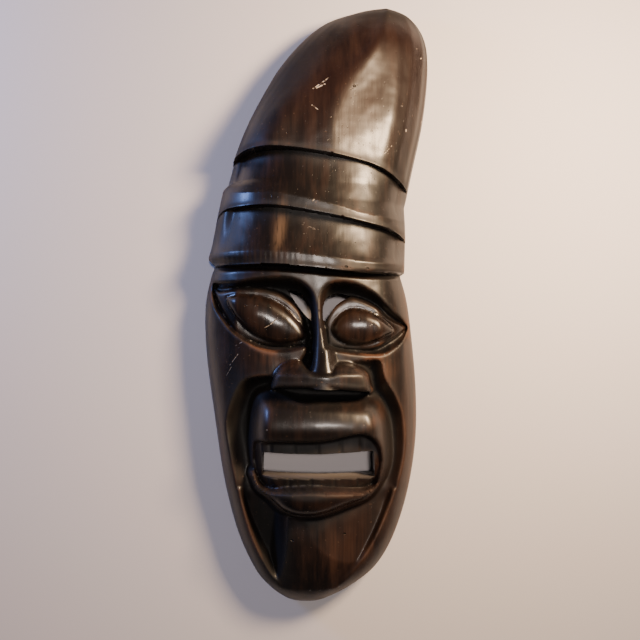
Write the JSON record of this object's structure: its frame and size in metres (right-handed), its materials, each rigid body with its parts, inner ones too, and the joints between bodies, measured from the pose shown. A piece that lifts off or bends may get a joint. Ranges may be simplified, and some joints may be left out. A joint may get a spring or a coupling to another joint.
{
  "type": "carved wooden mask",
  "caption": "Tall narrow carved wooden tribal-style mask with a leaning banded hat, domed eyes, a ridged nose and bared teeth, hollow at the back, lying face up.",
  "frame": {"origin": "on the flat back plane, under the middle of the mask's bounding box", "axes": "+Z out of the face, +Y from the chin to the crown of the hat, +X to the right as the face is seen"},
  "size_m": [0.2262, 0.599, 0.0886],
  "materials": {
    "dark_stained_wood": "dark stain with red-brown rubbed patches under a half-gloss lacquer"
  },
  "bodies": {
    "root": {"carved_mask": "dark_stained_wood"}
  },
  "joints": []
}
